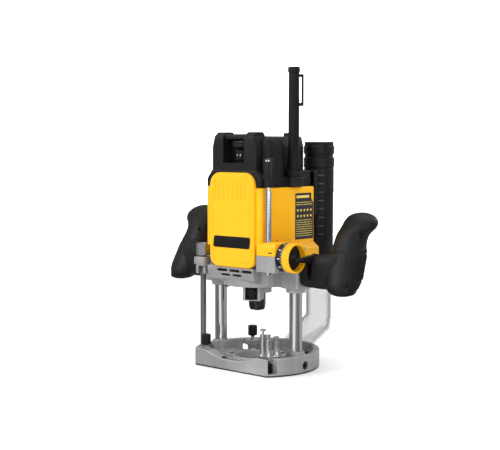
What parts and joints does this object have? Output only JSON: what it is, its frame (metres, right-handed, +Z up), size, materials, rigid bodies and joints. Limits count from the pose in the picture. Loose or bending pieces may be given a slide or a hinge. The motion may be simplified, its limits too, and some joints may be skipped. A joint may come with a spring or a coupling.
{
  "type": "plunge router",
  "caption": "Plunge router: motor carriage on guide columns over a round base, with side grips, depth rod and stop turret, dust tube and clear duct.",
  "frame": {"origin": "bottom centre of the whole object, on the plane of the sole; the spindle axis stands at x 0, y -27.5 mm", "axes": "+Z up along the spindle, -Y the front with the controls, +X toward the operator's grip on the depth wheel side"},
  "size_m": [0.3432, 0.171, 0.4182],
  "materials": {
    "cast": "as-cast aluminium, fine grain",
    "yellow": "warm yellow moulded plastic",
    "black": "black fine-textured moulded plastic",
    "rubber": "black soft rubber",
    "chrome": "hard-chromed ground steel",
    "steel": "bright zinc-plated steel",
    "dark_steel": "blackened steel",
    "brass": "bronze bush and copper segments",
    "clear": "clear moulded plastic",
    "carbon": "pressed carbon",
    "sole": "black laminate sole"
  },
  "bodies": {
    "base": {"base_casting": "cast", "sole_plate": "sole", "column_left": "chrome", "column_right": "chrome", "column_screw_left": "dark_steel", "column_screw_right": "dark_steel", "return_spring_left": "steel", "return_spring_right": "steel", "limit_rod": "steel", "turret_pivot_screw": "steel", "dust_duct": "clear"},
    "carriage": {"carriage_casting": "cast", "depth_rod_guide": "yellow", "column_bush_left": "brass", "column_bush_right": "brass", "spring_pin_left": "steel", "spring_pin_right": "steel", "motor_housing": "yellow", "front_cover": "yellow", "top_cap": "black", "rear_cover": "black", "cord_protector": "rubber", "dust_tube": "black", "stator": "dark_steel", "lower_bearing": "steel", "upper_bearing": "steel", "brush_left": "carbon", "brush_right": "carbon", "handle_left": "black", "handle_right": "black", "handle_screw_lower": "steel", "handle_screw_upper": "steel"},
    "turret": {"turret_disc": "steel", "stop_screw_a": "steel"},
    "stop_b": {"stop_screw_b": "steel"},
    "stop_c": {"stop_screw_c": "steel"},
    "clamp_front": {"rod_clamp_knob_front": "black", "rod_clamp_stud_front": "steel"},
    "clamp_rear": {"rod_clamp_knob_rear": "black", "rod_clamp_stud_rear": "steel"},
    "limit_nut": {"limit_nut": "steel"},
    "limit_collar": {"limit_collar": "black"},
    "collar_button": {"collar_button": "dark_steel"},
    "spindle": {"spindle_shaft": "steel", "spindle_lock_collar": "steel", "armature": "dark_steel", "commutator": "brass", "fan": "black", "collet": "steel"},
    "collet_nut": {"collet_nut": "dark_steel"},
    "lock_button": {"spindle_lock_button": "black"},
    "depth_rod": {"depth_rod": "steel"},
    "fine_knob": {"depth_fine_knob": "black"},
    "depth_wheel": {"depth_pinion": "steel", "depth_wheel": "yellow"},
    "scale_ring": {"depth_scale_ring": "black"},
    "dial": {"speed_dial": "black"},
    "switch": {"power_switch": "black"},
    "lever": {"lock_lever": "black", "lock_screw": "steel"}
  },
  "joints": [
    {"name": "plunge", "type": "slide", "parent": "base", "child": "carriage", "axis": [0, 0, 1], "range_m": [-0.08, 0], "deforming": ["return_spring_left", "return_spring_right"]},
    {"name": "spindle_spin", "type": "hinge", "parent": "carriage", "child": "spindle", "pos_m": [0, -0.0275, 0.18], "axis": [0, 0, 1], "continuous": true},
    {"name": "collet_nut_turn", "type": "hinge", "parent": "spindle", "child": "collet_nut", "pos_m": [0, -0.0275, 0.092], "axis": [0, 0, 1], "continuous": true},
    {"name": "spindle_lock_press", "type": "slide", "parent": "carriage", "child": "lock_button", "axis": [-0.4695, 0.8829, 0], "range_m": [0, 0.005]},
    {"name": "depth_rod_slide", "type": "slide", "parent": "carriage", "child": "depth_rod", "axis": [0, 0, -1], "range_m": [0, 0.07]},
    {"name": "depth_wheel_turn", "type": "hinge", "parent": "carriage", "child": "depth_wheel", "pos_m": [0.08, -0.0605, 0.161], "axis": [1, 0, 0], "continuous": true},
    {"name": "scale_ring_turn", "type": "hinge", "parent": "depth_wheel", "child": "scale_ring", "pos_m": [0.082, -0.0605, 0.161], "axis": [1, 0, 0], "continuous": true},
    {"name": "fine_knob_turn", "type": "hinge", "parent": "depth_rod", "child": "fine_knob", "pos_m": [0.0578, -0.0714, 0.27], "axis": [0, 0, 1], "continuous": true},
    {"name": "turret_turn", "type": "hinge", "parent": "base", "child": "turret", "pos_m": [0.052, -0.0625, 0.023], "axis": [0, 0, -1], "continuous": true},
    {"name": "stop_b_turn", "type": "hinge", "parent": "turret", "child": "stop_b", "pos_m": [0.05784, -0.07146, 0.05], "axis": [0, 0, 1], "continuous": true},
    {"name": "stop_c_turn", "type": "hinge", "parent": "turret", "child": "stop_c", "pos_m": [0.05684, -0.05296, 0.045], "axis": [0, 0, 1], "continuous": true},
    {"name": "limit_nut_turn", "type": "hinge", "parent": "base", "child": "limit_nut", "pos_m": [-0.071, -0.0635, 0.164], "axis": [0, 0, 1], "continuous": true},
    {"name": "limit_collar_turn", "type": "hinge", "parent": "base", "child": "limit_collar", "pos_m": [-0.071, -0.0635, 0.146], "axis": [0, 0, 1], "continuous": true},
    {"name": "collar_button_press", "type": "slide", "parent": "limit_collar", "child": "collar_button", "axis": [1, 0, 0], "range_m": [0, 0.002]},
    {"name": "clamp_front_turn", "type": "hinge", "parent": "base", "child": "clamp_front", "pos_m": [-0.0525, -0.0775, 0.037], "axis": [0, 0, 1], "continuous": true},
    {"name": "clamp_rear_turn", "type": "hinge", "parent": "base", "child": "clamp_rear", "pos_m": [-0.0525, 0.0225, 0.037], "axis": [0, 0, 1], "continuous": true},
    {"name": "speed_dial_turn", "type": "hinge", "parent": "carriage", "child": "dial", "pos_m": [0.002, -0.0615, 0.297], "axis": [0, 0, 1], "range_deg": [-140, 140]},
    {"name": "power_switch_rock", "type": "hinge", "parent": "carriage", "child": "switch", "pos_m": [0.002, -0.0615, 0.3128], "axis": [1, 0, 0], "range_deg": [0, 12]},
    {"name": "lock_lever_turn", "type": "hinge", "parent": "carriage", "child": "lever", "pos_m": [0.103, -0.0275, 0.158], "axis": [1, 0, 0], "range_deg": [0, 35]}
  ],
  "couplings": [
    {"joint": "depth_wheel_turn", "follows": "depth_rod_slide", "rad_per_m": 133.33}
  ]
}
